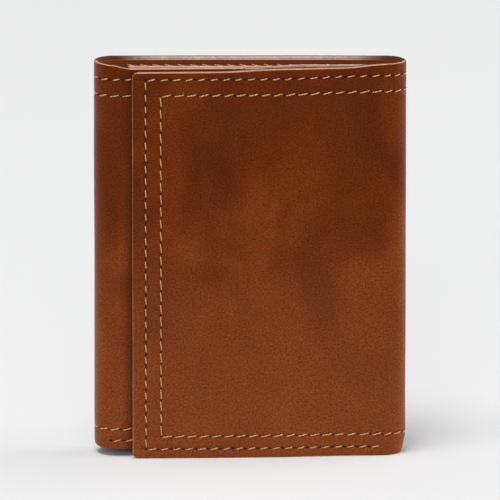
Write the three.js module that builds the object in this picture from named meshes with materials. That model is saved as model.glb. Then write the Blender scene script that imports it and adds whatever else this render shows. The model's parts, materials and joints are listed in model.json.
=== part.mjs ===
// A trifold wallet, closed and standing on its bottom edge, in millimetres with +Z up.
// The back panel is the middle third of the shell. The narrow left panel folds in over it first,
// and the front flap folds over both. Each fold is a chain of four vertical hinge lines with three
// narrow strips of shell between them, so the leather bends round instead of breaking at one line.
// The front flap faces -Y, and the bottom edges rest on z = 0.
import * as THREE from "three";

// Driving dimensions.
const HEIGHT = 109.5;
const HALF_WIDTH = 42.15;
const LEATHER = 1.1;
const LINING = 0.25;
const SHEET_GAP = 0.05; // between two sheets of one panel
const FOLD_GAP = 0.3; // between two bodies, at a hinge line and between folded panels
const BILL_SPACE = 4.2;
const CARD_SHEET = 0.25;
const FRONT_SLOPE = THREE.MathUtils.degToRad(1.8); // both folded panels lean in towards the right fold
const HINGES_PER_FOLD = 4;
const LEFT_FREE_EDGE_X = -0.5;
const FLAP_FREE_EDGE_X = -31.3;
const FLAP_FREE_TOP = 107.7; // the flap is cut a little low along its free end
const LEFT_FREE_TOP = 108.2;
const LEFT_BOTTOM = 2; // the panel that folds in is cut a little short so that it tucks in freely
const LEFT_FOLD_BOTTOMS = [1.4, 1.8, LEFT_BOTTOM];
const BACK_SLANT_X = -20; // from here to the left fold the bottom edge rises to meet that panel
const CORNER = 2.2;

// Interior sheets of the middle panel, from the bill space towards the front.
const DIVIDER = 0.45;
const SLIP_POCKET = 0.45;
const FILM = 0.2;
const FRAME = 0.7;
const MIDDLE_HALF = 33;
const FRAME_HALF = 30;
const FRAME_BOTTOM = 4.5;
const FRAME_TOP = 100;
const FILM_TRIM = 1;
const WINDOW_HALF = 23.5;
const WINDOW_BOTTOM = 13;
const WINDOW_TOP = 88;
const DIVIDER_TOP = 108;
const SLIP_TOP = 107.4;
const SHEET_BOTTOM = 0.8;
const SEAM_BOTTOM = 2.8;
const SEAM_TOP = 4;

// Pockets of the two folded panels.
const POCKET_BOTTOM = 4;
const SLOT_TOPS = { card_slot_upper: 98, card_slot_middle: 86, card_slot_lower: 74 };
const LEFT_POCKET_TOP = 94;
const BAND_GAP = 1.5; // from a pocket's mouth up to the band sewn along the panel's top edge
const BAND_DROP = 0.15; // from the leather's top edge down to the band's
const POCKET_EDGE = 1.2; // from a pocket sheet to the free edge beside it
const POCKET_FOLD = 6; // from a pocket sheet to the hinge line beside it
const LINING_TRIM = 1; // the lining stops this far short of the leather's cut edges
const LEFT_POCKET_BOTTOM = 3.5;

// Sizes that follow from them.
const SHELL = LEATHER + SHEET_GAP + LINING;
const MIDDLE_STACK = DIVIDER + SLIP_POCKET + FILM + FRAME + 3 * SHEET_GAP;
const LEFT_STACK = SHELL + SHEET_GAP + CARD_SHEET;
const FLAP_STACK = SHELL + 3 * (SHEET_GAP + CARD_SHEET);
const LEFT_DEPTH = SHELL + BILL_SPACE + MIDDLE_STACK + FOLD_GAP + LEFT_STACK; // at its free edge
const FLAP_DEPTH = LEFT_DEPTH + FOLD_GAP + FLAP_STACK; // over that edge
const TOTAL_DEPTH = FLAP_DEPTH + (LEFT_FREE_EDGE_X - FLAP_FREE_EDGE_X) * Math.tan(FRONT_SLOPE);
const BACK_Y = TOTAL_DEPTH / 2;

const LEATHER_LOOK = { color: 0x7a3a1c, roughness: 0.42, metalness: 0 };
const POCKET_LOOK = { color: 0x6b3319, roughness: 0.5, metalness: 0 };
const LINING_LOOK = { color: 0x4a2c1e, roughness: 0.85, metalness: 0 };
const FILM_LOOK = { color: 0xdfe3e4, roughness: 0.12, metalness: 0 };

const wallet = new THREE.Group();

function addMesh(parent, name, geometry, look) {
  const mesh = new THREE.Mesh(geometry, new THREE.MeshStandardMaterial(look));
  mesh.name = name;
  parent.add(mesh);
  return mesh;
}

// A flat sheet in the XZ plane of its group: its outer face lies `inset` behind the plane, towards -Y.
function addSheet(parent, name, shape, inset, thickness, look) {
  const geometry = new THREE.ExtrudeGeometry(shape, {
    depth: thickness,
    bevelEnabled: false,
    curveSegments: 8,
  });
  geometry.rotateX(Math.PI / 2);
  geometry.translate(0, -inset, 0);
  return addMesh(parent, name, geometry, look);
}

function rectangle(x0, x1, z0, z1) {
  return new THREE.Shape([
    new THREE.Vector2(x0, z0),
    new THREE.Vector2(x1, z0),
    new THREE.Vector2(x1, z1),
    new THREE.Vector2(x0, z1),
  ]);
}

// The radius of the round fold whose front panel passes through the point (x, depth). The arc turns
// from the back face through half a turn less `slope` on the right, and plus `slope` on the left.
function foldRadius(side, x, depth) {
  const reach = HALF_WIDTH - side * x;
  const slope = Math.tan(FRONT_SLOPE);
  const edge = 1 / Math.cos(FRONT_SLOPE);
  return (depth - side * reach * slope) / (1 + edge - side * slope);
}

// The corners of the fold seen from above, one for each hinge line, from the back to the front.
function foldCorners(side, radius) {
  const turn = Math.PI - side * FRONT_SLOPE;
  const step = turn / HINGES_PER_FOLD;
  const reach = radius / Math.cos(step / 2);
  const corners = [];
  for (let i = 0; i < HINGES_PER_FOLD; i += 1) {
    const angle = step * (i + 0.5);
    const x = side * (HALF_WIDTH - radius + reach * Math.sin(angle));
    const depth = radius - reach * Math.cos(angle);
    corners.push(new THREE.Vector2(x, BACK_Y - depth));
  }
  return { corners, step };
}

// One strip of a fold, mitred at both hinge lines, seen from above and raised from z0 to z1.
function addStrip(parent, name, from, to, step, side, inset, thickness, z0, z1, look) {
  const along = to.clone().sub(from);
  const width = along.length();
  along.normalize();
  const inward = new THREE.Vector2(along.y, -along.x).multiplyScalar(side);
  const mitre = Math.tan(step / 2);
  const end = FOLD_GAP / 2 / Math.cos(step / 2);
  const point = (distance, depth) =>
    from.clone().addScaledVector(along, distance).addScaledVector(inward, depth);
  const near = inset;
  const far = inset + thickness;
  const outline = [
    point(end + near * mitre, near),
    point(width - end - near * mitre, near),
    point(width - end - far * mitre, far),
    point(end + far * mitre, far),
  ];
  const geometry = new THREE.ExtrudeGeometry(new THREE.Shape(outline), {
    depth: z1 - z0,
    bevelEnabled: false,
  });
  geometry.translate(0, 0, z0);
  return addMesh(parent, name, geometry, look);
}

function addFold(prefix, side, fold, bottoms, top) {
  for (let i = 0; i + 1 < fold.corners.length; i += 1) {
    const from = fold.corners[i];
    const to = fold.corners[i + 1];
    const layers = [
      ["leather", 0, LEATHER, 0, LEATHER_LOOK],
      ["lining", LEATHER + SHEET_GAP, LINING, LINING_TRIM, LINING_LOOK],
    ];
    for (const [layer, inset, thickness, trim, look] of layers) {
      const name = `${prefix}_fold_${layer}_${i + 1}`;
      const z0 = bottoms[i] + trim;
      addStrip(wallet, name, from, to, fold.step, side, inset, thickness, z0, top - trim, look);
    }
  }
}

// How far a square-ended sheet stops short of a hinge line, so that it clears the mitred strip.
function hingeClearance(step, depth) {
  return depth * Math.tan(step / 2) + FOLD_GAP;
}

function buildBackPanel(leftHingeX, rightHingeX, step) {
  const panel = new THREE.Group();
  panel.position.y = BACK_Y;
  const outer = hingeClearance(step, LEATHER);
  const left = leftHingeX + outer;
  const right = rightHingeX - outer;
  const leather = new THREE.Shape([
    new THREE.Vector2(left, LEFT_BOTTOM / 2),
    new THREE.Vector2(BACK_SLANT_X, 0),
    new THREE.Vector2(right, 0),
    new THREE.Vector2(right, HEIGHT),
    new THREE.Vector2(left, HEIGHT),
  ]);
  addSheet(panel, "back_panel_leather", leather, 0, LEATHER, LEATHER_LOOK);
  const inner = hingeClearance(step, SHELL);
  const lining = rectangle(leftHingeX + inner, rightHingeX - inner, LEFT_BOTTOM, HEIGHT - LINING_TRIM);
  addSheet(panel, "back_panel_lining", lining, LEATHER + SHEET_GAP, LINING, LINING_LOOK);

  const seam = rectangle(-MIDDLE_HALF, MIDDLE_HALF, SEAM_BOTTOM, SEAM_TOP);
  const seamInset = SHELL + SHEET_GAP;
  const seamDepth = BILL_SPACE - 2 * SHEET_GAP;
  addSheet(panel, "bill_pocket_seam", seam, seamInset, seamDepth, POCKET_LOOK);

  let inset = SHELL + BILL_SPACE;
  const divider = rectangle(-MIDDLE_HALF, MIDDLE_HALF, SHEET_BOTTOM, DIVIDER_TOP);
  addSheet(panel, "bill_divider", divider, inset, DIVIDER, POCKET_LOOK);
  inset += DIVIDER + SHEET_GAP;
  const slip = rectangle(-MIDDLE_HALF, MIDDLE_HALF, SHEET_BOTTOM, SLIP_TOP);
  addSheet(panel, "middle_slip_pocket", slip, inset, SLIP_POCKET, POCKET_LOOK);
  inset += SLIP_POCKET + SHEET_GAP;
  const film = rectangle(
    -FRAME_HALF + FILM_TRIM,
    FRAME_HALF - FILM_TRIM,
    FRAME_BOTTOM + FILM_TRIM,
    FRAME_TOP - FILM_TRIM,
  );
  addSheet(panel, "id_window_film", film, inset, FILM, FILM_LOOK);
  inset += FILM + SHEET_GAP;
  const frame = rectangle(-FRAME_HALF, FRAME_HALF, FRAME_BOTTOM, FRAME_TOP);
  frame.holes.push(rectangle(-WINDOW_HALF, WINDOW_HALF, WINDOW_BOTTOM, WINDOW_TOP));
  addSheet(panel, "id_window_frame", frame, inset, FRAME, POCKET_LOOK);
  wallet.add(panel);
}

// The group of a folded panel: its outer face is the XZ plane, +X runs to the left of the wallet.
function frontGroup(origin) {
  const group = new THREE.Group();
  group.position.set(origin.x, origin.y, 0);
  group.rotation.z = Math.PI + FRONT_SLOPE;
  return group;
}

function buildLeftPanel(hinge, step) {
  const width = (LEFT_FREE_EDGE_X - hinge.x) / Math.cos(FRONT_SLOPE);
  const freeEdge = new THREE.Vector2(
    LEFT_FREE_EDGE_X,
    hinge.y + width * Math.sin(FRONT_SLOPE),
  );
  const panel = frontGroup(freeEdge);
  const end = width - hingeClearance(step, LEATHER);
  const leather = new THREE.Shape();
  leather.moveTo(CORNER, LEFT_BOTTOM);
  leather.lineTo(end, LEFT_BOTTOM);
  leather.lineTo(end, HEIGHT);
  leather.lineTo(width - POCKET_FOLD, LEFT_FREE_TOP);
  leather.lineTo(CORNER, LEFT_FREE_TOP);
  leather.absarc(CORNER, LEFT_FREE_TOP - CORNER, CORNER, Math.PI / 2, Math.PI, false);
  leather.absarc(CORNER, LEFT_BOTTOM + CORNER, CORNER, Math.PI, 1.5 * Math.PI, false);
  addSheet(panel, "left_panel_leather", leather, 0, LEATHER, LEATHER_LOOK);
  const liningEnd = width - hingeClearance(step, SHELL);
  const lining = rectangle(
    LINING_TRIM,
    liningEnd,
    LEFT_BOTTOM + LINING_TRIM,
    LEFT_FREE_TOP - LINING_TRIM,
  );
  addSheet(panel, "left_panel_lining", lining, LEATHER + SHEET_GAP, LINING, LINING_LOOK);
  const pocket = rectangle(
    POCKET_EDGE,
    width - POCKET_FOLD,
    LEFT_POCKET_BOTTOM,
    LEFT_POCKET_TOP,
  );
  addSheet(panel, "left_panel_pocket", pocket, SHELL + SHEET_GAP, CARD_SHEET, POCKET_LOOK);
  const band = rectangle(
    POCKET_EDGE,
    width - POCKET_FOLD,
    LEFT_POCKET_TOP + BAND_GAP,
    LEFT_FREE_TOP - BAND_DROP,
  );
  addSheet(panel, "left_panel_top_band", band, SHELL + SHEET_GAP, CARD_SHEET, POCKET_LOOK);
  wallet.add(panel);
}

function buildFlap(hinge, step) {
  const width = (hinge.x - FLAP_FREE_EDGE_X) / Math.cos(FRONT_SLOPE);
  const panel = frontGroup(hinge);
  const start = hingeClearance(step, LEATHER);
  const midway = hinge.x;
  const leather = new THREE.Shape();
  leather.moveTo(start, 0);
  leather.lineTo(width - CORNER, 0);
  leather.absarc(width - CORNER, CORNER, CORNER, 1.5 * Math.PI, 2 * Math.PI, false);
  leather.absarc(width - CORNER, FLAP_FREE_TOP - CORNER, CORNER, 0, Math.PI / 2, false);
  leather.lineTo(midway, FLAP_FREE_TOP);
  leather.lineTo(start, HEIGHT);
  addSheet(panel, "flap_leather", leather, 0, LEATHER, LEATHER_LOOK);
  const liningStart = hingeClearance(step, SHELL);
  const lining = rectangle(
    liningStart,
    width - LINING_TRIM,
    LINING_TRIM,
    FLAP_FREE_TOP - LINING_TRIM,
  );
  addSheet(panel, "flap_lining", lining, LEATHER + SHEET_GAP, LINING, LINING_LOOK);
  let inset = SHELL + SHEET_GAP;
  for (const [name, top] of Object.entries(SLOT_TOPS)) {
    const slot = rectangle(POCKET_FOLD, width - POCKET_EDGE, POCKET_BOTTOM, top);
    addSheet(panel, name, slot, inset, CARD_SHEET, POCKET_LOOK);
    inset += CARD_SHEET + SHEET_GAP;
  }
  const bandBottom = SLOT_TOPS.card_slot_upper + BAND_GAP;
  const rise = (HEIGHT - FLAP_FREE_TOP) / (midway - start);
  const band = new THREE.Shape([
    new THREE.Vector2(POCKET_FOLD, bandBottom),
    new THREE.Vector2(width - POCKET_EDGE, bandBottom),
    new THREE.Vector2(width - POCKET_EDGE, FLAP_FREE_TOP - BAND_DROP),
    new THREE.Vector2(midway, FLAP_FREE_TOP - BAND_DROP),
    new THREE.Vector2(POCKET_FOLD, FLAP_FREE_TOP - BAND_DROP + rise * (midway - POCKET_FOLD)),
  ]);
  const bandInset = SHELL + SHEET_GAP;
  addSheet(panel, "flap_top_band", band, bandInset, FLAP_STACK - bandInset, POCKET_LOOK);
  wallet.add(panel);
}

const rightFold = foldCorners(1, foldRadius(1, LEFT_FREE_EDGE_X, FLAP_DEPTH));
const leftFold = foldCorners(-1, foldRadius(-1, LEFT_FREE_EDGE_X, LEFT_DEPTH));
const last = HINGES_PER_FOLD - 1;

buildBackPanel(leftFold.corners[0].x, rightFold.corners[0].x, leftFold.step);
addFold("right", 1, rightFold, [0, 0, 0], HEIGHT);
addFold("left", -1, leftFold, LEFT_FOLD_BOTTOMS, HEIGHT);
buildLeftPanel(leftFold.corners[last], leftFold.step);
buildFlap(rightFold.corners[last], rightFold.step);

export default wallet;
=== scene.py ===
import json
import math
import random

import bpy
import numpy as np
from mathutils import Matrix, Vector, noise


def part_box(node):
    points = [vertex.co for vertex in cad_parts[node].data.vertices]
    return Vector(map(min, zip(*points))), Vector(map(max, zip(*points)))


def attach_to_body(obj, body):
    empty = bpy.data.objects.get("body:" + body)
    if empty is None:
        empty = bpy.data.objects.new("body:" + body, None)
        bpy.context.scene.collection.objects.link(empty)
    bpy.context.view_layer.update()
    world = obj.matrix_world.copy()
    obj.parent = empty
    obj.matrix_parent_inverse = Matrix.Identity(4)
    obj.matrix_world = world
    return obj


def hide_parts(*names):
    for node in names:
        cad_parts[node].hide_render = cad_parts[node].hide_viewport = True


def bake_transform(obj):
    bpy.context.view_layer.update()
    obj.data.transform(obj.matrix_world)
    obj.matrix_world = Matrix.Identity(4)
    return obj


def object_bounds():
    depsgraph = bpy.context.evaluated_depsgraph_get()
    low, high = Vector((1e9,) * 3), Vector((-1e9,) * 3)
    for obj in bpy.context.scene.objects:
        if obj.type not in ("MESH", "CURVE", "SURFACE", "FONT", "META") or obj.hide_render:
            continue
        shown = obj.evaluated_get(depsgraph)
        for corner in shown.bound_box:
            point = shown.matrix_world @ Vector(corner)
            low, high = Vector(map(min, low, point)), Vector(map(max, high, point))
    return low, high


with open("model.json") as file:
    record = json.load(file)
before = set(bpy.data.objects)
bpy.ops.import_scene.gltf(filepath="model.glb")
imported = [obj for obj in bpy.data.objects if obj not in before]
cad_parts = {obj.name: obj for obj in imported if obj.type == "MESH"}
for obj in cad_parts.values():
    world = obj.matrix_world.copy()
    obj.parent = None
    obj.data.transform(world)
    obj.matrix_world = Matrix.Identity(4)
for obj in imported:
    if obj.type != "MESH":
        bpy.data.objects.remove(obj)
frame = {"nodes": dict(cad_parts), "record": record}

CAD_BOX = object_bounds()
MM = 0.001

# ---------------------------------------------------------------- sizes from the frame, in millimetres
JOINTS = {j["name"]: j for j in frame["record"]["behaviour"]["joints"]}


def low_corner(node):
    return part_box(node)[0] / MM


def high_corner(node):
    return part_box(node)[1] / MM


HEIGHT = high_corner("back_panel_leather").z
BACK_Y = high_corner("back_panel_leather").y
LEATHER = BACK_Y - low_corner("back_panel_leather").y
LINING = high_corner("back_panel_lining").y - low_corner("back_panel_lining").y
SHELL = BACK_Y - low_corner("back_panel_lining").y
GAP = SHELL - LEATHER - LINING
SHEET = LINING  # the card sheets are as thin as the lining
LEFT_BOTTOM = low_corner("left_panel_leather").z
FLAP_FREE_X = low_corner("flap_leather").x
LEFT_FREE_X = high_corner("left_panel_leather").x
TRIM = 1.0  # the lining stops this far short of the leather's cut edges
FLAP_FREE_TOP = high_corner("flap_lining").z + TRIM
LEFT_FREE_TOP = high_corner("left_panel_lining").z + TRIM
FOLD_PIECES = 4


def fold_plan(prefix, side):
    """The round fold that lies inside the hinge lines of one side, seen from above."""
    first, second = (
        np.array(JOINTS[f"{prefix}_fold_hinge_{i}"]["pos_m"][:2]) / MM for i in (1, 2)
    )
    across = second - first
    step = math.atan2(-across[1], side * across[0])
    half = np.linalg.norm(across) / 2
    radius = half / math.tan(step / 2)
    centre = np.array([first[0] - side * half, BACK_Y - radius])
    turn = step * FOLD_PIECES
    start = abs(centre[0])
    return {
        "prefix": prefix,
        "side": side,
        "step": step,
        "turn": turn,
        "radius": radius,
        "centre": centre,
        "start": start,
        "finish": start + turn * radius,
        "exit": centre + radius * np.array([side * math.sin(turn), math.cos(turn)]),
        "along": np.array([side * math.cos(turn), -math.sin(turn)]),
    }


RIGHT = fold_plan("right", 1)
LEFT = fold_plan("left", -1)


def length_at(fold, x):
    """The unrolled length, from the middle of the back, at which the panel beyond a fold reaches x."""
    return fold["finish"] + abs(x - fold["exit"][0]) / abs(fold["along"][0])


FLAP_BULGE = 0.42  # the flap's rounded end reaches this far past the plain solid
FLAP_END = length_at(RIGHT, FLAP_FREE_X) + FLAP_BULGE
LEFT_END = -length_at(LEFT, LEFT_FREE_X)


def fold_at(s):
    """The fold on the same side of the middle as s."""
    return RIGHT if s > 0 else LEFT


def plan(s):
    """Point and outward normal of the shell's outer face at unrolled length s, seen from above."""
    fold = fold_at(s)
    t = abs(s)
    if t <= fold["start"]:
        return np.array([s, BACK_Y]), np.array([0.0, 1.0])
    angle = min((t - fold["start"]) / fold["radius"], fold["turn"])
    normal = np.array([fold["side"] * math.sin(angle), math.cos(angle)])
    if t <= fold["finish"]:
        return fold["centre"] + fold["radius"] * normal, normal
    return fold["exit"] + fold["along"] * (t - fold["finish"]), normal


def rise(x, start, end):
    """A smooth step from 0 at start to 1 at end."""
    share = min(1.0, max(0.0, (x - start) / (end - start)))
    return share * share * (3 - 2 * share)


def rise_in_steps(x, steps):
    """Several smooth steps, each with its start, its end and its share of the whole."""
    return sum(share * rise(x, start, end) for start, end, share in steps)


def bell(x, centre, width):
    return math.exp(-(((x - centre) / width) ** 2))


# ---------------------------------------------------------------- edges, stitch rows and the skin's shape
TOP_ROWS = (3.7, 8.1)  # below the shell's top edge
BOTTOM_ROWS = (2.6, 6.1)  # above its bottom edge
COLUMNS = (3.6, 7.7)  # in from a free end
PITCH = 3.36  # from one stitch to the next

FLAP_SIDE = RIGHT["finish"] - 6  # past this length a place across the flap decides the height
LEFT_LIFT = (22, 44)  # lengths, left of the middle, between which the bottom edge rises
FLAP_START = 0.1  # share of the flap's climb that its free corner already has
FLAP_CLIMB = ((-9, 9, 0.37), (25, 37, 0.53))  # the rest, over these places across the flap
LEFT_DROP = ((-5, 0, 0.2), (0.6, 3.6, 0.8))  # the left panel's drop, by length past its fold
ROW_CLIMB = 0.5  # the top rows climb this much towards the right fold
ROW_CLIMB_ON_BACK = (20, 40)
ROW_CLIMB_ON_FLAP = (8, 38)
ROW_DROPS = (0.45, 0.6)  # and drop this much across the left fold
ROW_DROP_LENGTHS = (25, 40)
ROW_LIFTS = (0.9, 0.75)  # share of the bottom edge's rise that each bottom row follows
ROW_STOP = 2.0  # the lowest row stops this far short of each fold
ROW_RESUME = {"right": 2.0, "left": -1.8}  # and starts again this far past its end


def bottom_edge(s):
    """The bottom edge rises towards the left fold and the panel beyond it."""
    return LEFT_BOTTOM * rise(-s, *LEFT_LIFT)


def top_edge(s):
    """The flap's top edge climbs from its free end to the fold; the left panel drops beyond its own."""
    if s > FLAP_SIDE:
        climb = FLAP_START + rise_in_steps(plan(s)[0][0], FLAP_CLIMB)
        return FLAP_FREE_TOP + (HEIGHT - FLAP_FREE_TOP) * climb
    return HEIGHT - (HEIGHT - LEFT_FREE_TOP) * rise_in_steps(-s - LEFT["finish"], LEFT_DROP)


def top_row(s, i):
    if s > FLAP_SIDE:
        climb = rise(plan(s)[0][0], *ROW_CLIMB_ON_FLAP)
    else:
        climb = rise(s, *ROW_CLIMB_ON_BACK)
    return HEIGHT - TOP_ROWS[i] + ROW_CLIMB * climb - ROW_DROPS[i] * rise(-s, *ROW_DROP_LENGTHS)


def bottom_row(s, i):
    return bottom_edge(s) * ROW_LIFTS[i] + BOTTOM_ROWS[i]


def has_outer_bottom_row(s):
    """The lowest row stops short of each fold and starts again past it."""
    fold = fold_at(s)
    return not fold["start"] - ROW_STOP < abs(s) < fold["finish"] + ROW_RESUME[fold["prefix"]]


WAVINESS = 0.13  # depth of the leather's slow waves
WAVES = (0.045, 0.03)  # how many there are in a millimetre, along and up the leather
WAVE_LAYER = 3.1  # which slice of the noise is used
PINCHES = {"right": (6.5, 1.2, 1.6), "left": (1.5, 0.7, 3.0)}  # a foot's height, depth and bend
PINCH_WIDTH = 5.5
FLAP_DIP = 1.1
FLAP_DIP_LENGTH = 7  # from the middle of the fold
FLAP_DIP_ACROSS = (4, 28)  # it is shallow at the first place across the flap and full at the second
GROOVE_DEPTH = 0.14
GROOVE_WIDTH = 0.55
GROOVE_RUN_OUT = 0.4  # past the last stitch of an upright row


def sag(s, z):
    """How far the skin sits inside the plain shape: the flap dips beside its fold, and both folds
    are pinched at the foot."""
    depth = WAVINESS * noise.noise(Vector((s * WAVES[0], z * WAVES[1], WAVE_LAYER)))
    fold = fold_at(s)
    middle = (fold["start"] + fold["finish"]) / 2
    reach, pinch, bend = PINCHES[fold["prefix"]]
    foot = min(1.0, max(0.0, (bottom_edge(s) + reach - z) / reach)) ** bend
    depth += pinch * foot * bell(abs(s), middle, PINCH_WIDTH)
    if s > RIGHT["start"]:
        past_fold = rise(s, middle, middle + FLAP_DIP_LENGTH)
        depth += FLAP_DIP * past_fold * rise(plan(s)[0][0], *FLAP_DIP_ACROSS)
    return depth


def groove(s, z):
    """How far the thread pulls the leather in along the stitch rows."""
    depth = 0.0
    for i in (0, 1):
        depth += bell(z, top_row(s, i), GROOVE_WIDTH)
        if i or has_outer_bottom_row(s):
            depth += bell(z, bottom_row(s, i), GROOVE_WIDTH)
        if bottom_row(s, i) - GROOVE_RUN_OUT < z < top_row(s, i) + GROOVE_RUN_OUT:
            for column in (FLAP_END - COLUMNS[i], LEFT_END + COLUMNS[i]):
                depth += bell(s, column, GROOVE_WIDTH)
    return GROOVE_DEPTH * depth


def on_shell(s, depth, z):
    """The point, in metres, at unrolled length s and height z, so deep inside the shell's outer face."""
    point, normal = plan(s)
    point = point - normal * (depth + sag(s, z))
    return Vector((point[0], point[1], z)) * MM


def on_middle(x, depth, z):
    """The same for the flat sheets of the middle panel, whose length is x."""
    return Vector((x, BACK_Y - depth, z)) * MM


# ---------------------------------------------------------------- mesh making
def make_object(name, verts, faces, rest, materials, slots, normals=None):
    mesh = bpy.data.meshes.new(name)
    mesh.from_pydata([tuple(v) for v in verts], [], faces)
    attribute = mesh.attributes.new("rest", "FLOAT_VECTOR", "POINT")
    attribute.data.foreach_set("vector", (np.array(rest, np.float32) * MM).reshape(-1))
    for material in materials:
        mesh.materials.append(material)
    mesh.polygons.foreach_set("material_index", np.array(slots, np.int32))
    mesh.polygons.foreach_set("use_smooth", [True] * len(mesh.polygons))
    mesh.update()
    if normals is not None:
        mesh.normals_split_custom_set_from_vertices([tuple(n) for n in normals])
    obj = bpy.data.objects.new(name, mesh)
    bpy.context.scene.collection.objects.link(obj)
    return obj


ROUNDING = (0.0, 0.04, 0.11, 0.22, 0.36, 0.55, 0.9)  # grid lines lie this far from a cut edge
BESIDE_A_ROW = (-1.0, -0.6, -0.3, 0.0, 0.3, 0.6, 1.0)  # and this far from a stitch row
CLOSEST_LINES = 0.03
CORNER_ANGLES = range(10, 90, 10)  # and at these angles round a round corner


def grid_lines(low, high, spacing, marks, cut):
    """Lines from low to high: fine beside cut ends and marks, about `spacing` apart elsewhere."""
    found = [low + e for e in ROUNDING if cut[0]]
    found += [high - e for e in ROUNDING if cut[1]]
    found += [mark + e for mark in marks for e in BESIDE_A_ROW]
    count = max(2, round((high - low) / spacing))
    found += [low + (high - low) * i / count for i in range(1, count)]
    kept = [low]
    for value in sorted(found):
        if kept[-1] + CLOSEST_LINES < value < high - CLOSEST_LINES:
            kept.append(value)
    return kept + [high]


def drawn_in(e, radius):
    """How far a face is drawn in at distance e from a cut edge that is rounded to that radius."""
    u = min(1.0, max(0.0, (radius - e) / radius))
    return radius * (1 - math.sqrt(1 - u * u))


def vertex_normals(points, faces):
    normals = np.zeros_like(points)
    quads = np.array(faces)
    p = points[quads]
    across = np.cross(p[:, 2] - p[:, 0], p[:, 3] - p[:, 1])
    for k in range(4):
        np.add.at(normals, quads[:, k], across)
    return normals / np.maximum(np.linalg.norm(normals, axis=1), 1e-12)[:, None]


GHOST = 0.6  # a column this far past an uncut end gives its normals: neighbours then shade as one
ROUND_SHARE = 0.4  # a cut edge is rounded to this share of its thickness
LARGEST_ROUND = 0.42
CORNER_SHARE = 0.8  # share of a round corner that the top edge's colour, a painted highlight, leaves out
EDGE_BAND = 0.25  # how far an edge's colour reaches onto the faces; on the shell's skin that colour is a painted highlight or a painted shade
THIN_BAND = 0.12
POCKET_BAND = 0.15
FILM_BAND = 0.1
# the divider's pale top edge, with its painted highlight, reaches this far down its faces
DIVIDER_BAND = 0.5
OUTER, INNER, TOP, OTHER = range(4)  # a sheet's materials: two faces, the top edge, other edges


def sheet(
    name, ends, depths, low, high, materials, spacing,
    cut=(True, True), corner=0.0, rows=(), columns=(), relief=None,
    band=EDGE_BAND, edges_in_shade=False, surface=on_shell,
):
    """A sheet between two unrolled lengths and two depths. low(s) and high(s) are its bottom and top
    edges, and cut says which ends are cut edges. Rows and columns are where a finer grid is needed.
    A sheet whose edges lie in shade has its last material, a painted shade, on all its edges, and no
    painted highlight on its top edge."""
    radius = min(ROUND_SHARE * (depths[1] - depths[0]), LARGEST_ROUND)
    lengths = grid_lines(ends[0], ends[1], spacing, columns, cut)
    if corner:
        reach = [corner * (1 - math.sin(math.radians(a))) for a in CORNER_ANGLES]
        lengths += [ends[0] + r for r in reach if cut[0]]
        lengths += [ends[1] - r for r in reach if cut[1]]
        lengths = sorted(set(lengths))
    before, after = not cut[0], not cut[1]
    lengths = [ends[0] - GHOST] * before + lengths + [ends[1] + GHOST] * after
    middle = (ends[0] + ends[1]) / 2
    heights = grid_lines(low(middle), high(middle), spacing, rows, (True, True))
    shares = [(z - heights[0]) / (heights[-1] - heights[0]) for z in heights]

    def to_cut_end(s):
        return min([abs(s - end) for end, is_cut in zip(ends, cut) if is_cut], default=math.inf)

    def edge_distance(s, z):
        up, side = min(z - low(s), high(s) - z), to_cut_end(s)
        if corner and side < corner and up < corner:
            return corner - math.hypot(corner - side, corner - up)
        return min(up, side)

    points, rest, distance = [], [], []
    for layer in (0, 1):
        for s in lengths:
            side = to_cut_end(s)
            drop = drawn_in(side, corner) if side < corner else 0.0
            a, b = low(s) + drop, high(s) - drop
            for share in shares:
                z = a + (b - a) * share
                e = edge_distance(s, z)
                inward = drawn_in(e, radius)
                depth = depths[1] - inward if layer else depths[0] + inward
                if relief:
                    depth += relief(layer, s, z)
                points.append(surface(s, depth, z))
                rest.append((s, z, depth))
                distance.append(e)
    n, m = len(lengths), len(shares)

    def at(layer, i, j):
        return (layer * n + i) * m + j

    faces, slots, kept = [], [], []

    def add(face, slot, real):
        if slot == TOP or sum(distance[v] for v in face) / 4 < band:
            s, z = (sum(rest[v][k] for v in face) / 4 for k in (0, 1))
            past_corner = high(s) - z + CORNER_SHARE * corner < to_cut_end(s)
            on_top = past_corner and z > low(s) + band + corner
            # the top edge takes the third material, on the skin a painted highlight; a sheet whose edges
            # lie in shade takes the last material, a painted shade, there too
            slot = TOP if on_top and not edges_in_shade else OTHER
        faces.append(face)
        slots.append(slot)
        kept.append(real)

    for i in range(n - 1):
        real = not (before and i == 0) and not (after and i == n - 2)
        for j in range(m - 1):
            add((at(0, i, j), at(0, i, j + 1), at(0, i + 1, j + 1), at(0, i + 1, j)), OUTER, real)
            add((at(1, i, j), at(1, i + 1, j), at(1, i + 1, j + 1), at(1, i, j + 1)), INNER, real)
        add((at(0, i, 0), at(0, i + 1, 0), at(1, i + 1, 0), at(1, i, 0)), TOP, real)
        add((at(0, i, m - 1), at(1, i, m - 1), at(1, i + 1, m - 1), at(0, i + 1, m - 1)), TOP, real)
    for j in range(m - 1):
        if cut[0]:
            add((at(0, 0, j), at(1, 0, j), at(1, 0, j + 1), at(0, 0, j + 1)), TOP, True)
        if cut[1]:
            last = n - 1
            add((at(0, last, j), at(0, last, j + 1), at(1, last, j + 1), at(1, last, j)), TOP, True)
    points = np.array(points)
    normals = vertex_normals(points, faces)
    faces = [face for face, real in zip(faces, kept) if real]
    slots = [slot for slot, real in zip(slots, kept) if real]
    used = sorted({v for face in faces for v in face})
    place = {v: k for k, v in enumerate(used)}
    faces = [tuple(place[v] for v in face) for face in faces]
    return make_object(
        name, points[used], faces, [rest[v] for v in used], materials, slots, normals[used]
    )


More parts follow.
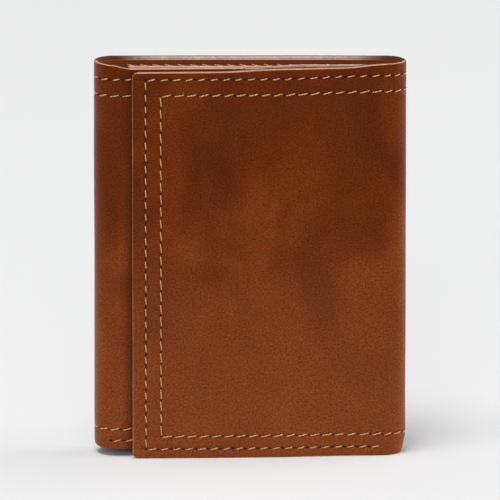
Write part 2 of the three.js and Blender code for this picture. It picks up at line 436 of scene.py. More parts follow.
# ---------------------------------------------------------------- stitching
STITCHES = (2.15, 2.85)  # outer rows have shorter stitches and longer holes than inner ones
HOLES = (0.5, 0.26)  # half lengths
HOLE_WIDTH = 0.22  # half width
HOLE_RISE = 0.06  # a hole's dark face, painted shade, lies this far off the leather
HOLE_SIDES = 10
THREAD = 0.165  # radius of a strand
FLATTENED = 0.8  # its height as a share of its width
ARCH = 0.16  # how high its middle stands
DIVE = 0.34  # how far its ends drop from there
TAPER = 0.45
TILTS = (9, 16)  # degrees by which the strands of a row lean
COLUMN_TILT = 0.45  # share of that in an upright row
LENGTH_SPREAD = (0.93, 1.05)
OVER_GROOVE = 0.05  # the stitches stand this much clear of the groove
SECTIONS = 7
SIDES = 6
dice = random.Random(11)


def on_outside(s, z):
    """The depth that the stitches lie at, and 1 because they stand out towards smaller depths."""
    return groove(s, z) - OVER_GROOVE, 1


def on_inside(s, z):
    return inner_depth(s, z), -1


def inner_depth(s, z):
    """How deep the innermost sheet of the shell lies at s and z."""
    layers = 0
    if s > length_at(RIGHT, POCKET_RIGHT):
        band = z > FLAP_BAND_BOTTOM
        layers = len(SLOT_TOPS) if band else sum(z < top for top in SLOT_TOPS.values())
    if s < -length_at(LEFT, LEFT_POCKET_X):
        layers = 1 if z < LEFT_POCKET_TOP or z > LEFT_BAND_BOTTOM else 0
    return SHELL + layers * (SHEET + GAP)


def middles(start, end):
    count = round((end - start) / PITCH)
    return [start + (k + 0.5) * (end - start) / count for k in range(count)]


def row_of_stitches(start, end, height, row=1):
    """Centres, directions and kinds of the stitches of a row that runs along the shell."""
    return [(s, height(s), 1, 0, row) for s in middles(start, end)]


def column_of_stitches(s, low, high, row=1):
    return [(s, z, 0, 1, row) for z in middles(low, high)]


def all_stitches():
    found = []
    for i in (0, 1):
        left, right = LEFT_END + COLUMNS[i], FLAP_END - COLUMNS[i]
        found += row_of_stitches(left, right, lambda s: top_row(s, i), i)
        lower = row_of_stitches(left, right, lambda s: bottom_row(s, i), i)
        found += [stitch for stitch in lower if i or has_outer_bottom_row(stitch[0])]
        for s in (left, right):
            found += column_of_stitches(s, bottom_row(s, i), top_row(s, i), i)
    return found


def add_strand(points, faces, rest, slots, stitch, face, surface):
    """A short arched strand that dives into the leather at both ends."""
    s, z, along_s, along_z, row = stitch
    tilt = -math.radians(dice.uniform(*TILTS)) * (1.0 if along_s else COLUMN_TILT)
    ds = along_s * math.cos(tilt) - along_z * math.sin(tilt)
    dz = along_z * math.cos(tilt) + along_s * math.sin(tilt)
    length = STITCHES[row] * dice.uniform(*LENGTH_SPREAD)
    face_depth, sign = face(s, z)
    base = len(points)
    for k in range(SECTIONS):
        u = 2 * k / (SECTIONS - 1) - 1
        arch = ARCH - DIVE * u**4
        girth = THREAD * (1 - TAPER * u**4)
        cs, cz = s + ds * length / 2 * u, z + dz * length / 2 * u
        for side in range(SIDES):
            a = 2 * math.pi * side / SIDES
            across, up = girth * math.cos(a), girth * math.sin(a) * FLATTENED
            ps, pz = cs - dz * across, cz + ds * across
            depth = face_depth - sign * (arch + up)
            points.append(surface(ps, depth, pz))
            rest.append((ps, pz, depth))
    for k in range(SECTIONS - 1):
        for side in range(SIDES):
            a, b = base + k * SIDES + side, base + k * SIDES + (side + 1) % SIDES
            quad = (a, b, b + SIDES, a + SIDES)
            faces.append(quad if sign > 0 else quad[::-1])
            slots.append(0)
    for k in (0, SECTIONS - 1):
        cap = tuple(base + k * SIDES + side for side in range(SIDES))
        faces.append(cap if (k > 0) == (sign > 0) else cap[::-1])
        slots.append(0)


def add_hole(points, faces, rest, slots, stitch, face, surface):
    """The needle hole between a stitch and the next, a dark oval along the row: painted shade, as the hole
    itself is not cut.
    """
    s, z, along_s, along_z, row = stitch
    cs, cz = s + along_s * PITCH / 2, z + along_z * PITCH / 2
    face_depth, sign = face(cs, cz)
    depth = face_depth - sign * HOLE_RISE
    base = len(points)
    for side in range(HOLE_SIDES):
        a = 2 * math.pi * side / HOLE_SIDES
        long_way, short_way = HOLES[row] * math.cos(a), HOLE_WIDTH * math.sin(a)
        ps = cs + along_s * long_way - along_z * short_way
        pz = cz + along_z * long_way + along_s * short_way
        points.append(surface(ps, depth, pz))
        rest.append((ps, pz, depth))
    ring = tuple(base + side for side in range(HOLE_SIDES))
    faces.append(ring[::-1] if sign > 0 else ring)
    slots.append(1)


def stitching(name, stitches, sides, surface=on_shell):
    points, faces, rest, slots = [], [], [], []
    for stitch in stitches:
        for face in sides:
            add_strand(points, faces, rest, slots, stitch, face, surface)
            add_hole(points, faces, rest, slots, stitch, face, surface)
    return make_object(name, points, faces, rest, [THREAD_LOOK, HOLE_SHADE_LOOK], slots)


# ---------------------------------------------------------------- materials
class Material:
    """A node material under construction. Its patterns lie on the unrolled sheet, so they bend with it."""

    def __init__(self, name):
        self.material = bpy.data.materials.new(name)
        self.material.use_nodes = True
        self.nodes = self.material.node_tree.nodes
        self.links = self.material.node_tree.links
        self.shader = self.nodes["Principled BSDF"]

    def set(self, **values):
        for name, value in values.items():
            self.shader.inputs[name.replace("_", " ")].default_value = value

    def wire(self, output, name):
        self.links.new(output, self.shader.inputs[name])

    def fill(self, socket, value):
        if isinstance(value, (int, float)):
            socket.default_value = value
        elif isinstance(value, tuple):
            socket.default_value = (*value, 1) if socket.type == "RGBA" else value
        else:
            self.links.new(value, socket)

    def unrolled(self, scale=(1.0, 1.0, 1.0)):
        attribute = self.nodes.new("ShaderNodeAttribute")
        attribute.attribute_name = "rest"
        mapping = self.nodes.new("ShaderNodeMapping")
        mapping.inputs["Scale"].default_value = scale
        self.links.new(attribute.outputs["Vector"], mapping.inputs["Vector"])
        return mapping.outputs["Vector"]

    def noise(self, vector, scale, detail=3.0, roughness=0.5, distortion=0.0):
        node = self.nodes.new("ShaderNodeTexNoise")
        node.inputs["Scale"].default_value = scale
        node.inputs["Detail"].default_value = detail
        node.inputs["Roughness"].default_value = roughness
        node.inputs["Distortion"].default_value = distortion
        self.links.new(vector, node.inputs["Vector"])
        return node.outputs["Fac"]

    def cells(self, vector, scale):
        node = self.nodes.new("ShaderNodeTexVoronoi")
        node.feature = "SMOOTH_F1"
        node.inputs["Scale"].default_value = scale
        self.links.new(vector, node.inputs["Vector"])
        return node.outputs["Distance"]

    def wave(self, vector, direction, scale, distortion=0.4):
        node = self.nodes.new("ShaderNodeTexWave")
        node.bands_direction = direction
        node.inputs["Scale"].default_value = scale
        node.inputs["Distortion"].default_value = distortion
        self.links.new(vector, node.inputs["Vector"])
        return node.outputs["Fac"]

    def maths(self, operation, a, b):
        node = self.nodes.new("ShaderNodeMath")
        node.operation = operation
        self.fill(node.inputs[0], a)
        self.fill(node.inputs[1], b)
        return node.outputs[0]

    def blend(self, a, b, share):
        """share of a and the rest of b, as numbers."""
        return self.maths("ADD", self.maths("MULTIPLY", a, share), self.maths("MULTIPLY", b, 1 - share))

    def span(self, value, low, high, to_low=0.0, to_high=1.0):
        node = self.nodes.new("ShaderNodeMapRange")
        self.fill(node.inputs["Value"], value)
        for socket, number in zip(list(node.inputs)[1:5], (low, high, to_low, to_high)):
            socket.default_value = number
        return node.outputs["Result"]

    def ramp(self, value, *stops):
        node = self.nodes.new("ShaderNodeValToRGB")
        elements = node.color_ramp.elements
        while len(elements) < len(stops):
            elements.new(0.5)
        for element, (place, colour) in zip(elements, stops):
            element.position = place
            element.color = (*colour, 1)
        self.links.new(value, node.inputs["Fac"])
        return node.outputs["Color"]

    def mix(self, share, a, b, how="MIX"):
        node = self.nodes.new("ShaderNodeMix")
        node.data_type = "RGBA"
        node.blend_type = how
        for index, value in ((0, share), (6, a), (7, b)):  # the factor and the two colours
            self.fill(node.inputs[index], value)
        return node.outputs[2]

    def bump(self, height, strength, distance, normal=None):
        node = self.nodes.new("ShaderNodeBump")
        node.inputs["Strength"].default_value = strength
        node.inputs["Distance"].default_value = distance
        self.links.new(height, node.inputs["Height"])
        if normal is not None:
            self.links.new(normal, node.inputs["Normal"])
        return node.outputs["Normal"]

    def along(self, axis):
        """X is the length along the unrolled shell and Y the height, in metres."""
        split = self.nodes.new("ShaderNodeSeparateXYZ")
        self.links.new(self.unrolled(), split.inputs["Vector"])
        return split.outputs[axis]


# How fine the patterns are, in cells or waves to a metre.
CLOUDS, BLOTCHES, PORES, CELLS, DENTS = 42.0, 150.0, 1900.0, 1500.0, 80.0
NAP, CUT_NAP, NAP_PATCHES = 1500.0, 900.0, 120.0
WEAVE, WEAVE_PATCHES = 520.0, 300.0
STRANDS, FIBRES = 800.0, 2000.0
FILM_CLOUDS, PAPER_CLOUDS = 60.0, 3.0

WARM = (1.0, 0.46, 0.18, 1)  # tints of the highlights and of the sheen
SHEEN = (1.0, 0.9, 0.82, 1)
TALL = (1.0, 0.7, 1.0)  # the clouding is drawn out upwards
CLOUD_SHARE = 0.72
TONES = (0.37, 0.5, 0.65)  # where the clouding is dark, middling and light
PORE_SHADE = (0.3, 0.7, 1.5, 0.5)  # the fine noise multiplies the colour, by less where it is high
ROUGHNESS_SPREAD = (0.3, 0.7, -0.06, 0.07)

# Fades of the painted light and shade, along the unrolled shell or up it, in metres, and where there are
# four numbers, their strengths.
PAINTED_LIGHT_FADE = (0.080, 0.010, 0.0, 0.66)
PAINTED_SHADE_TOP_FADE = (0.045, 0.095, 0.0, 0.55)
SHADE_BESIDE_FOLD_FADE = (FLAP_END * MM - 0.038, FLAP_END * MM - 0.056)
SHADE_BESIDE_FOLD_HEIGHTS = (0.045, 0.085, 0.0, 0.85)
PAST_FOLD_FADE = (RIGHT["finish"] * MM - 0.006, RIGHT["finish"] * MM + 0.004)
# painted shade on the left panel beside the flap's free edge
FLAP_EDGE_LINE = -length_at(LEFT, FLAP_FREE_X) * MM  # where the flap's free edge rests on the left panel
FLAP_EDGE_SHADE_FADES = (
    (FLAP_EDGE_LINE + 0.0035, FLAP_EDGE_LINE + 0.0005),
    (FLAP_EDGE_LINE - 0.005, FLAP_EDGE_LINE - 0.001),
)
FLAP_EDGE_SHADE_STRENGTH = 0.8


def painted_light_and_shade(m, colour, haze, dark):
    """Painted light and shade on the shell's leather: painted paler towards its foot, and painted darker
    high up and on the flap beside the fold.
    """
    colour = m.mix(m.span(m.along("Y"), *PAINTED_LIGHT_FADE), colour, haze)
    shade_high_up = m.span(m.along("Y"), *PAINTED_SHADE_TOP_FADE)
    shade_beside_fold = m.span(m.along("X"), *SHADE_BESIDE_FOLD_FADE)
    shade_beside_fold = m.maths("MULTIPLY", shade_beside_fold, m.span(m.along("Y"), *SHADE_BESIDE_FOLD_HEIGHTS))
    shade_beside_fold = m.maths("MULTIPLY", shade_beside_fold, m.span(m.along("X"), *PAST_FOLD_FADE))
    return m.mix(m.maths("MAXIMUM", shade_high_up, shade_beside_fold), colour, dark)


def shade_beside_flap_edge(m, colour, dark):
    """Painted shade: the left panel is darker beside the flap's free edge, which stands in front of it."""
    approach, departure = (m.span(m.along("X"), *fade) for fade in FLAP_EDGE_SHADE_FADES)
    share = m.maths("MULTIPLY", m.maths("MULTIPLY", approach, departure), FLAP_EDGE_SHADE_STRENGTH)
    return m.mix(share, colour, dark)


def leather(name, dark, middle, light, haze=None, roughness=0.40, grain=0.3):
    """Clouded leather with fine pores. Only the shell's outer face has a haze: painted light towards its
    foot, with painted shade high up, beside the fold and beside the flap's free edge.
    """
    m = Material(name)
    tall, even = m.unrolled(TALL), m.unrolled()
    cloud = m.noise(tall, CLOUDS, distortion=0.8)
    blotch = m.noise(tall, BLOTCHES, detail=4.0, roughness=0.6)
    colour = m.ramp(m.blend(cloud, blotch, CLOUD_SHARE), *zip(TONES, (dark, middle, light)))
    if haze:
        # painted light towards the foot, and painted shade high up, beside the fold and beside the flap's
        # free edge
        colour = shade_beside_flap_edge(m, painted_light_and_shade(m, colour, haze, dark), dark)
    pores = m.noise(even, PORES, detail=2.0, roughness=0.6)
    colour = m.mix(1.0, colour, m.span(pores, *PORE_SHADE), "MULTIPLY")
    m.wire(colour, "Base Color")
    m.wire(m.maths("ADD", m.span(blotch, *ROUGHNESS_SPREAD), roughness), "Roughness")
    fine = m.bump(m.cells(even, CELLS), strength=grain, distance=0.0002)
    fine = m.bump(pores, strength=grain, distance=0.00015, normal=fine)
    m.wire(m.bump(m.noise(even, DENTS), strength=0.2, distance=0.0006, normal=fine), "Normal")
    m.set(Specular_IOR_Level=0.3, Specular_Tint=WARM)
    m.set(Sheen_Weight=0.12, Sheen_Roughness=0.3, Sheen_Tint=SHEEN)
    return m.material


AT_FOLDS_FADE = (0.024, 0.036)  # distances from the middle, between which the inner face's painted highlight gives way to its own brown at the folds


def suede(name, dark, light, scale=NAP, roughness=0.88, at_folds=None):
    """Matt, fibrous leather. at_folds is the colour it takes towards both folds."""
    m = Material(name)
    even = m.unrolled()
    nap = m.noise(even, scale, detail=4.0, roughness=0.65)
    tone = m.blend(nap, m.noise(even, NAP_PATCHES), 0.6)
    colour = m.ramp(tone, (0.3, dark), (0.7, light))
    if at_folds:
        away = m.maths("ABSOLUTE", m.along("X"), 0.0)
        colour = m.mix(m.span(away, *AT_FOLDS_FADE), colour, at_folds)
    m.wire(colour, "Base Color")
    m.wire(m.bump(nap, strength=0.5, distance=0.00015), "Normal")
    m.set(Roughness=roughness, Specular_IOR_Level=0.2)
    return m.material


def woven(name, dark, light):
    m = Material(name)
    even = m.unrolled()
    weave = m.maths("MAXIMUM", m.wave(even, "X", WEAVE), m.wave(even, "Y", WEAVE))
    tone = m.blend(weave, m.noise(even, WEAVE_PATCHES), 0.55)
    m.wire(m.ramp(tone, (0.25, dark), (0.75, light)), "Base Color")
    m.wire(m.bump(weave, strength=0.4, distance=0.00012), "Normal")
    m.set(Roughness=0.82, Specular_IOR_Level=0.15, Specular_Tint=WARM)
    return m.material


def thread(name, dark, light):
    m = Material(name)
    even = m.unrolled()
    strand = m.wave(even, "DIAGONAL", STRANDS, distortion=0.6)
    tone = m.blend(strand, m.noise(even, FIBRES), 0.5)
    m.wire(m.ramp(tone, (0.2, dark), (0.7, light)), "Base Color")
    m.wire(m.bump(strand, strength=0.6, distance=0.0001), "Normal")
    m.set(Roughness=0.6, Specular_IOR_Level=0.3)
    return m.material


def clear_film(name):
    m = Material(name)
    haze = m.noise(m.unrolled(), FILM_CLOUDS)
    m.wire(m.ramp(haze, (0.3, (0.80, 0.82, 0.82)), (0.7, (0.90, 0.91, 0.91))), "Base Color")
    m.wire(m.bump(haze, strength=0.1, distance=0.0006), "Normal")
    m.set(Alpha=0.15, Roughness=0.12)
    return m.material


# haze is the painted light towards the foot; the dark tone also serves as the painted shade
SKIN_LOOK = leather(
    "skin_leather",
    dark=(0.080, 0.0095, 0.001), middle=(0.134, 0.0195, 0.0015), light=(0.200, 0.040, 0.005),
    haze=(0.225, 0.056, 0.018),
)
BURNISHED_LOOK = leather(
    "burnished_edge",
    dark=(0.07, 0.016, 0.006), middle=(0.13, 0.036, 0.014), light=(0.20, 0.07, 0.03),
    roughness=0.34, grain=0.1,
)
# burnished edge colour, lightened as a painted highlight, on the flap's, the left panel's and the front
# folds' edges other than the top
SIDE_EDGE_HIGHLIGHT_LOOK = leather(
    "burnished_edge_with_painted_highlight",
    dark=(0.20, 0.062, 0.026), middle=(0.28, 0.10, 0.05), light=(0.38, 0.16, 0.09),
    roughness=0.4, grain=0.1,
)
# painted shade on the edges of the back and of the rear halves of the folds, which face away from the light
REAR_EDGE_SHADE_LOOK = leather(
    "rear_edge_painted_shade",
    dark=(0.012, 0.004, 0.002), middle=(0.022, 0.008, 0.004), light=(0.036, 0.013, 0.007),
    roughness=0.6, grain=0.1,
)
POCKET_LOOK = leather(
    "pocket_leather",
    dark=(0.095, 0.019, 0.006), middle=(0.150, 0.034, 0.010), light=(0.20, 0.056, 0.020),
    roughness=0.46, grain=0.14,
)
# the skin's inner face above the lining: the pale middle is a painted highlight, the brown towards both
# folds the leather's own colour
INNER_FACE_HIGHLIGHT_LOOK = suede(
    "inner_face_painted_highlight", dark=(0.50, 0.28, 0.20), light=(0.95, 0.70, 0.58), at_folds=(0.15, 0.042, 0.014)
)
# painted highlight on the skin's rounded top edge, where the light from above falls
TOP_EDGE_HIGHLIGHT_LOOK = suede(
    "top_edge_painted_highlight", dark=(0.32, 0.15, 0.085), light=(0.58, 0.33, 0.22), scale=CUT_NAP, roughness=0.45
)
# the pockets' top edges: a pale edge colour, lightened as a painted highlight
POCKET_EDGE_HIGHLIGHT_LOOK = suede(
    "pocket_edge_with_painted_highlight", dark=(0.46, 0.25, 0.17), light=(0.80, 0.53, 0.40), scale=CUT_NAP, roughness=0.6
)
# painted shade in the needle holes, which are not cut
HOLE_SHADE_LOOK = suede("needle_hole_painted_shade", dark=(0.010, 0.003, 0.002), light=(0.025, 0.008, 0.004))
LINING_LOOK = woven("lining_cloth", dark=(0.070, 0.014, 0.005), light=(0.22, 0.060, 0.026))
THREAD_LOOK = thread("sewing_thread", dark=(0.38, 0.15, 0.054), light=(0.76, 0.385, 0.188))
FILM_LOOK = clear_film("window_film")


# ---------------------------------------------------------------- the shell, panel by panel
CARD_SLOTS = ("card_slot_upper", "card_slot_middle", "card_slot_lower")
SLOT_TOPS = {name: high_corner(name).z for name in CARD_SLOTS}
SLOT_BOTTOM = low_corner("card_slot_upper").z
POCKET_LEFT = low_corner("card_slot_upper").x
POCKET_RIGHT = high_corner("card_slot_upper").x
FLAP_BAND_BOTTOM = low_corner("flap_top_band").z
LEFT_POCKET_X = low_corner("left_panel_pocket").x
LEFT_POCKET_BOTTOM = low_corner("left_panel_pocket").z
LEFT_POCKET_TOP = high_corner("left_panel_pocket").z
LEFT_BAND_BOTTOM = low_corner("left_panel_top_band").z
CLEAR = 1.0  # a corner of the frame this far inside its outer sides belongs to the window


def window_limits():
    """The window's half width, bottom and top, from the corners of the frame's own mesh."""
    node = frame["nodes"]["id_window_frame"]
    low, high = low_corner("id_window_frame"), high_corner("id_window_frame")
    corners = [v.co / MM for v in node.data.vertices]
    inside = [c for c in corners if low.x + CLEAR < c.x < high.x - CLEAR]
    return max(c.x for c in inside), min(c.z for c in inside), max(c.z for c in inside)


WINDOW_HALF, WINDOW_BOTTOM, WINDOW_TOP = window_limits()


def chain(fold, last_body):
    """The bodies along a fold, from the middle panel to the panel beyond it."""
    strips = [f"{fold['prefix']}_fold_strip_{i}" for i in range(1, FOLD_PIECES)]
    return ["middle_panel"] + strips + [last_body]


SHRINK = 0.13  # so that a fold piece's inner face starts and ends with its outer one


def fold_parts(fold, last_body):
    """The pieces of a fold: the two bodies each one joins, its ends along the shell, its blend, and the
    nodes it stands for. A fold has one strip fewer than pieces, so its last piece stands for none."""
    bodies = chain(fold, last_body)
    parts = []
    for i in range(FOLD_PIECES):
        near = fold["side"] * (fold["start"] + i * fold["step"] * fold["radius"])
        far = fold["side"] * (fold["start"] + (i + 1) * fold["step"] * fold["radius"])
        a, b = plan(near)[0] * MM, plan(far)[0] * MM
        start, end = a + (b - a) * SHRINK, b + (a - b) * SHRINK
        name = f"{fold['prefix']}_fold_{{}}_{i + 1}"
        parts.append(
            {
                "name": name,
                "bodies": bodies[i : i + 2],
                "ends": (min(near, far), max(near, far)),
                "start": (*start, 0),
                "end": (*end, 0),
                "node": name if i + 1 < FOLD_PIECES else None,
            }
        )
    return parts


def panel_part(name, body, node, start, end):
    return {"name": name, "bodies": [body], "ends": (start, end), "node": node}


PARTS = [
    panel_part("back_{}", "middle_panel", "back_panel_{}", -LEFT["start"], RIGHT["start"]),
    panel_part("flap_{}", "front_flap", "flap_{}", RIGHT["finish"], FLAP_END),
    panel_part("left_panel_{}", "left_panel", "left_panel_{}", LEFT_END, -LEFT["finish"]),
]
PARTS += fold_parts(RIGHT, "front_flap") + fold_parts(LEFT, "left_panel")


def attach(obj, part):
    if len(part["bodies"]) == 1:
        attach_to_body(obj, part["bodies"][0])
    else:
        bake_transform(obj)
    return obj


CORNER = 1.5  # radius of the shell's corners
FOLD_SPACING = 0.9  # grid lines of a piece that bends
PANEL_SPACING = 2.2
HEM_DROP = 2.5  # the lining's hem lies this far below the top edge
HEM_REACH = 33.6
ROW_HEIGHTS = [HEIGHT - r for r in TOP_ROWS] + list(BOTTOM_ROWS)


def skin_relief(layer, s, z):
    return 0.0 if layer else groove(s, z)


def build_skin(part, cut, spacing):
    ends = part["ends"]
    columns = [FLAP_END - c for c in COLUMNS if cut[1]] + [LEFT_END + c for c in COLUMNS if cut[0]]
    rows = [z + bottom_edge(sum(ends) / 2) * (z < HEIGHT / 2) for z in ROW_HEIGHTS]
    at_back = abs(sum(ends)) < RIGHT["start"] + RIGHT["finish"]  # the back and half of each fold
    return sheet(
        part["name"].format("skin"), ends, (0.0, LEATHER), bottom_edge, top_edge,
        # the top edge gets a painted highlight; on the back and its half of each fold all edges get painted
        # shade, elsewhere the other edges a burnished colour lightened as a painted highlight
        [SKIN_LOOK, INNER_FACE_HIGHLIGHT_LOOK, TOP_EDGE_HIGHLIGHT_LOOK, REAR_EDGE_SHADE_LOOK if at_back else SIDE_EDGE_HIGHLIGHT_LOOK],
        cut=cut, corner=CORNER if any(cut) else 0.0, spacing=spacing, rows=rows, columns=columns,
        relief=skin_relief, band=EDGE_BAND if cut[1] else THIN_BAND, edges_in_shade=at_back,
    )


def build_cloth(part, cut, spacing):
    ends = (part["ends"][0] + TRIM * cut[0], part["ends"][1] - TRIM * cut[1])
    return sheet(
        part["name"].format("cloth"), ends, (LEATHER + GAP, SHELL),
        lambda s: bottom_edge(s) + TRIM, lambda s: top_edge(s) - TRIM,
        [LINING_LOOK] * 4, cut=cut, spacing=spacing,
    )


def build_shell():
    stitches = all_stitches()
    for part in PARTS:
        ends = part["ends"]
        cut = (ends[0] == LEFT_END, ends[1] == FLAP_END)
        spacing = PANEL_SPACING if len(part["bodies"]) == 1 else FOLD_SPACING
        skin, cloth = build_skin(part, cut, spacing), build_cloth(part, cut, spacing)
        for obj, layer, slot in ((skin, "leather", "shell_leather"), (cloth, "lining", "lining")):
            attach(obj, part)
            if part["node"]:
                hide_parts(part["node"].format(layer))
        mine = [stitch for stitch in stitches if ends[0] <= stitch[0] < ends[1]]
        attach(stitching(part["name"].format("stitching"), mine, (on_outside, on_inside)), part)
    hem = row_of_stitches(-HEM_REACH, HEM_REACH, lambda s: HEIGHT - HEM_DROP)
    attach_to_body(stitching("lining_hem_stitching", hem, (on_inside,)), "middle_panel")


build_shell()


# ---------------------------------------------------------------- the sheets inside
CREASE_DROP = 1.6  # from a pocket's mouth down to the line creased along it
CREASE_DEPTH = 0.06
CREASE_WIDTH = 0.3
POCKET_SPACING = 2.6
BAND_DROP = 0.15  # a panel's top band ends this far below the skin's top edge
BAND_THICKNESS = 3 * SHEET + 2 * GAP  # the flap's band is as thick as its three slots
SPLAY = 0.6
SPLAY_CENTRE = 19  # place across the flap
SPLAY_WIDTH = 12
SPLAY_HEIGHT = 7
DIVIDER_RISE = 0.35
DIVIDER_RISE_ACROSS = (6, 14)


def creased(top):
    """A pressed line along a pocket's mouth, on the sheet's inner face."""
    return lambda layer, s, z: -CREASE_DEPTH * layer * bell(z, top - CREASE_DROP, CREASE_WIDTH)


def pocket(
    name, node, ends, depth, low, high, body, surface=on_shell, thickness=SHEET, band=POCKET_BAND,
    edge=POCKET_EDGE_HIGHLIGHT_LOOK,
):
    top = high((ends[0] + ends[1]) / 2)
    obj = sheet(
        name, ends, (depth, depth + thickness), low, high,
        [POCKET_LOOK, POCKET_LOOK, edge, BURNISHED_LOOK],
        spacing=POCKET_SPACING, rows=[top - CREASE_DROP], relief=creased(top),
        band=band, surface=surface,
    )
    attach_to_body(obj, body)
    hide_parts(node)
    return obj


def level(z):
    return lambda s: z


def splayed(s, depth, z):
    """The flap's top band stands away from the lining near the fold."""
    lift = rise(z, FLAP_BAND_BOTTOM, FLAP_BAND_BOTTOM + SPLAY_HEIGHT)
    return on_shell(s, depth + SPLAY * bell(plan(s)[0][0], SPLAY_CENTRE, SPLAY_WIDTH) * lift, z)


def band_top(s):
    return top_edge(s) - BAND_DROP


def build_flap_pockets():
    ends = (length_at(RIGHT, POCKET_RIGHT), length_at(RIGHT, POCKET_LEFT))
    depth = SHELL + GAP
    for name, top in SLOT_TOPS.items():
        pocket(f"{name}_sheet", name, ends, depth, level(SLOT_BOTTOM), level(top), "front_flap")
        depth += SHEET + GAP
    pocket(
        "flap_top_band_sheet", "flap_top_band", ends, SHELL + GAP, level(FLAP_BAND_BOTTOM), band_top,
        "front_flap", surface=splayed, thickness=BAND_THICKNESS, edge=BURNISHED_LOOK,
    )


def build_left_pockets():
    free_side = high_corner("left_panel_pocket").x
    ends = (-length_at(LEFT, free_side), -length_at(LEFT, LEFT_POCKET_X))
    depth = SHELL + GAP
    pocket(
        "left_pocket_sheet", "left_panel_pocket", ends, depth,
        level(LEFT_POCKET_BOTTOM), level(LEFT_POCKET_TOP), "left_panel",
    )
    pocket(
        "left_top_band_sheet", "left_panel_top_band", ends, depth,
        level(LEFT_BAND_BOTTOM), band_top, "left_panel",
    )


def divider_top(x):
    """The divider's top edge stands a little higher at the right."""
    return high_corner("bill_divider").z + DIVIDER_RISE * rise(x, *DIVIDER_RISE_ACROSS)


def middle_sheet(name, node, top=None, band=POCKET_BAND):
    low, high = low_corner(node), high_corner(node)
    pocket(
        name, node, (low.x, high.x), BACK_Y - high.y, level(low.z), top or level(high.z),
        "middle_panel", surface=on_middle, thickness=high.y - low.y, band=band,
    )


def build_middle():
    middle_sheet("bill_divider_sheet", "bill_divider", top=divider_top, band=DIVIDER_BAND)
    middle_sheet("slip_pocket_sheet", "middle_slip_pocket")
    middle_sheet("bill_seam", "bill_pocket_seam")


WINDOW_CORNER = 2.5
FRAME_CORNER = 1.5
FRAME_ROUND = 0.3  # radius of the frame's edges
FRAME_EDGE_FACES = 4  # faces with the edge's finish, in from each edge
FRAME_LINES = 8
ARC_STEPS = 6
SIDE_STEPS = 16
FRAME_ROW = 2.2  # stitch row, in from the frame's outer edge
FRAME_ROW_STOP = 1  # it stops this far below the frame's top
FRAME_STITCH_DEPTH = 0.12
BESIDE_FRAME_ROW = (-0.5, -0.2, 0.2, 0.5)
FRAME_GROOVE = (0.1, 0.4)  # depth and width
FRAME_CREASE = (0.08, 0.3)
FRAME_CREASE_AT = 1.3  # from the window


def rounded_outline(x0, x1, z0, z1, corner):
    """Points round a rectangle with round corners, as many on each side and corner whatever its size."""
    left, right, bottom, top = x0 + corner, x1 - corner, z0 + corner, z1 - corner
    arcs = []
    for quarter, centre in enumerate(((right, bottom), (right, top), (left, top), (left, bottom))):
        angles = [math.pi / 2 * (quarter - 1 + k / ARC_STEPS) for k in range(ARC_STEPS + 1)]
        arcs.append([np.array(centre) + corner * np.array([math.cos(a), math.sin(a)]) for a in angles])
    found = []
    for arc, following in zip(arcs, arcs[1:] + arcs[:1]):
        found += arc
        start, end = arc[-1], following[0]
        found += [start + (end - start) * k / SIDE_STEPS for k in range(1, SIDE_STEPS)]
    return found


def frame_section(length, near, far):
    """Round the frame's section: how far each point is from the window, and its depth."""
    fine = ROUNDING[:-1]
    across = [length * k / FRAME_LINES for k in range(1, FRAME_LINES)]
    across = sorted([*fine, *across] + [length - FRAME_ROW + e for e in BESIDE_FRAME_ROW])
    across += [length - e for e in reversed(fine)]
    front, rear = [], []
    for d in across:
        inward = drawn_in(min(d, length - d), FRAME_ROUND)
        groove_depth, groove_width = FRAME_GROOVE
        crease_depth, crease_width = FRAME_CREASE
        pressed = groove_depth * bell(d, length - FRAME_ROW, groove_width)
        pressed += crease_depth * bell(d, FRAME_CREASE_AT, crease_width)
        front.append((d, far - inward - pressed))
        rear.append((d, near + inward))
    return front + rear[::-1]


def build_window_frame():
    """A leather frame sewn on round three sides, with a round-cornered window and rounded edges."""
    low, high = low_corner("id_window_frame"), high_corner("id_window_frame")
    outer = rounded_outline(low.x, high.x, low.z, high.z, FRAME_CORNER)
    inner = rounded_outline(-WINDOW_HALF, WINDOW_HALF, WINDOW_BOTTOM, WINDOW_TOP, WINDOW_CORNER)
    near, far = BACK_Y - high.y, BACK_Y - low.y
    points, rest, faces, slots = [], [], [], []
    for a, b in zip(inner, outer):
        length = np.linalg.norm(b - a)
        section = frame_section(length, near, far)
        for d, depth in section:
            x, z = a + (b - a) * d / length
            points.append(on_middle(x, depth, z))
            rest.append((x, z, depth))
    size, count = len(section), len(inner)
    half = size // 2
    for k in range(count):
        this, following = k * size, (k + 1) % count * size
        for j in range(size):
            beside = (j + 1) % size
            faces.append((this + j, this + beside, following + beside, following + j))
            slots.append(not FRAME_EDGE_FACES <= j % half < half - FRAME_EDGE_FACES)
    obj = make_object("window_frame", points, faces, rest, [POCKET_LOOK, BURNISHED_LOOK], slots)
    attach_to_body(obj, "middle_panel")
    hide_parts("id_window_frame")
    left, right, foot = low.x + FRAME_ROW, high.x - FRAME_ROW, low.z + FRAME_ROW
    rows = column_of_stitches(left, foot, high.z - FRAME_ROW_STOP)
    rows += column_of_stitches(right, foot, high.z - FRAME_ROW_STOP)
    rows += row_of_stitches(left, right, level(foot))

    def on_frame(x, z):
        return far - FRAME_STITCH_DEPTH, -1

    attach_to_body(stitching("window_frame_stitching", rows, (on_frame,), on_middle), "middle_panel")


RIPPLE = 0.05
RIPPLE_ACROSS = (0.22, 0.05)  # how fast its phase turns with x and with z
RIPPLE_UP = 0.11
FILM_SPACING = 3.0


def ripple(layer, x, z):
    phase = x * RIPPLE_ACROSS[0] + z * RIPPLE_ACROSS[1]
    return RIPPLE * math.sin(phase) * math.cos(z * RIPPLE_UP)


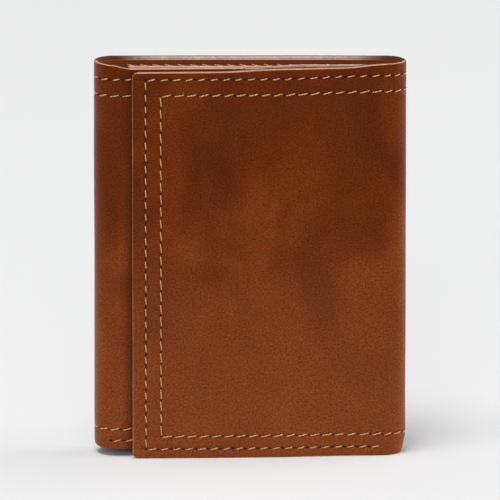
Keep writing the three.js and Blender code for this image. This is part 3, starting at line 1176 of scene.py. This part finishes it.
def build_film():
    """The clear sheet behind the frame, not quite flat."""
    low, high = low_corner("id_window_film"), high_corner("id_window_film")
    film = sheet(
        "window_film", (low.x, high.x), (BACK_Y - high.y, BACK_Y - low.y), level(low.z), level(high.z),
        [FILM_LOOK] * 4, spacing=FILM_SPACING, relief=ripple, band=FILM_BAND, surface=on_middle,
    )
    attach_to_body(film, "middle_panel")
    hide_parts("id_window_film")


build_flap_pockets()
build_left_pockets()
build_middle()
build_window_frame()
build_film()


# ---------------------------------------------------------------- studio
BACKDROP = (0.812, 0.812, 0.815)
PAPER = ((0.672, 0.674, 0.676), (0.680, 0.682, 0.684))
FLOOR_SIZE = 16
AIR = (0.34, 0.34, 0.345)  # what the surroundings send onto the object
TARGET = Vector((0, 0, HEIGHT * MM / 2))


def from_direction(azimuth, elevation, distance):
    """A place round the object. Azimuth 0 is in front of it, towards -Y, and 90 is to its right."""
    a, e = math.radians(azimuth), math.radians(elevation)
    level_part = math.cos(e)
    return TARGET + distance * Vector((math.sin(a) * level_part, -math.cos(a) * level_part, math.sin(e)))


def soft_box(name, azimuth, elevation, distance, width, height, power):
    light = bpy.data.objects.new(name, bpy.data.lights.new(name, "AREA"))
    light.data.shape = "RECTANGLE"
    light.data.size = width
    light.data.size_y = height
    light.data.energy = power
    light.location = from_direction(azimuth, elevation, distance)
    light.rotation_euler = (TARGET - light.location).to_track_quat("-Z", "Y").to_euler()
    bpy.context.scene.collection.objects.link(light)


def build_floor():
    bpy.ops.mesh.primitive_plane_add(size=FLOOR_SIZE)
    floor = bpy.context.object
    floor.name = "studio_floor"
    m = Material("studio_paper")
    paper = m.noise(m.nodes.new("ShaderNodeTexCoord").outputs["Object"], PAPER_CLOUDS)
    m.wire(m.ramp(paper, (0.3, PAPER[0]), (0.7, PAPER[1])), "Base Color")
    m.set(Roughness=1.0, Specular_IOR_Level=0.0)
    floor.data.materials.append(m.material)


def build_surroundings():
    """The backdrop's own colour where it is seen, and a dimmer light from all round."""
    world = bpy.data.worlds.new("studio_air")
    bpy.context.scene.world = world
    world.use_nodes = True
    nodes, links = world.node_tree.nodes, world.node_tree.links
    seen = nodes["Background"]
    seen.inputs["Color"].default_value = (*BACKDROP, 1)
    air = nodes.new("ShaderNodeBackground")
    air.inputs["Color"].default_value = (*AIR, 1)
    choose = nodes.new("ShaderNodeMixShader")
    links.new(nodes.new("ShaderNodeLightPath").outputs["Is Camera Ray"], choose.inputs["Fac"])
    links.new(air.outputs["Background"], choose.inputs[1])
    links.new(seen.outputs["Background"], choose.inputs[2])
    links.new(choose.outputs["Shader"], nodes["World Output"].inputs["Surface"])


def build_lights():
    soft_box("key_light", azimuth=-40, elevation=74, distance=3.0, width=1.3, height=1.3, power=66.0)
    soft_box("front_light", azimuth=-6, elevation=24, distance=3.2, width=2.0, height=1.0, power=24.0)
    soft_box("left_light", azimuth=-112, elevation=16, distance=2.8, width=1.8, height=1.6, power=14.0)
    soft_box("right_light", azimuth=98, elevation=16, distance=2.8, width=2.2, height=1.6, power=64.0)


CAMERA_ELEVATION = math.radians(15)
CAMERA_DISTANCE = 4.5
LENS = 1200
SENSOR_WIDTH = 36
FARTHEST = 20
AIM_HEIGHT = 0.05855
AIM = Vector((0.0, CAD_BOX[0].y, AIM_HEIGHT))


def build_camera():
    camera = bpy.data.objects.new("camera", bpy.data.cameras.new("camera"))
    camera.data.sensor_width = SENSOR_WIDTH
    camera.data.lens = LENS
    camera.data.clip_end = FARTHEST
    away = Vector((0, -math.cos(CAMERA_ELEVATION), math.sin(CAMERA_ELEVATION)))
    camera.location = AIM + away * CAMERA_DISTANCE
    camera.rotation_euler = (-away).to_track_quat("-Z", "Y").to_euler()
    bpy.context.scene.collection.objects.link(camera)
    bpy.context.scene.camera = camera


build_floor()
build_surroundings()
build_lights()
build_camera()
bpy.context.scene.view_settings.view_transform = "Standard"
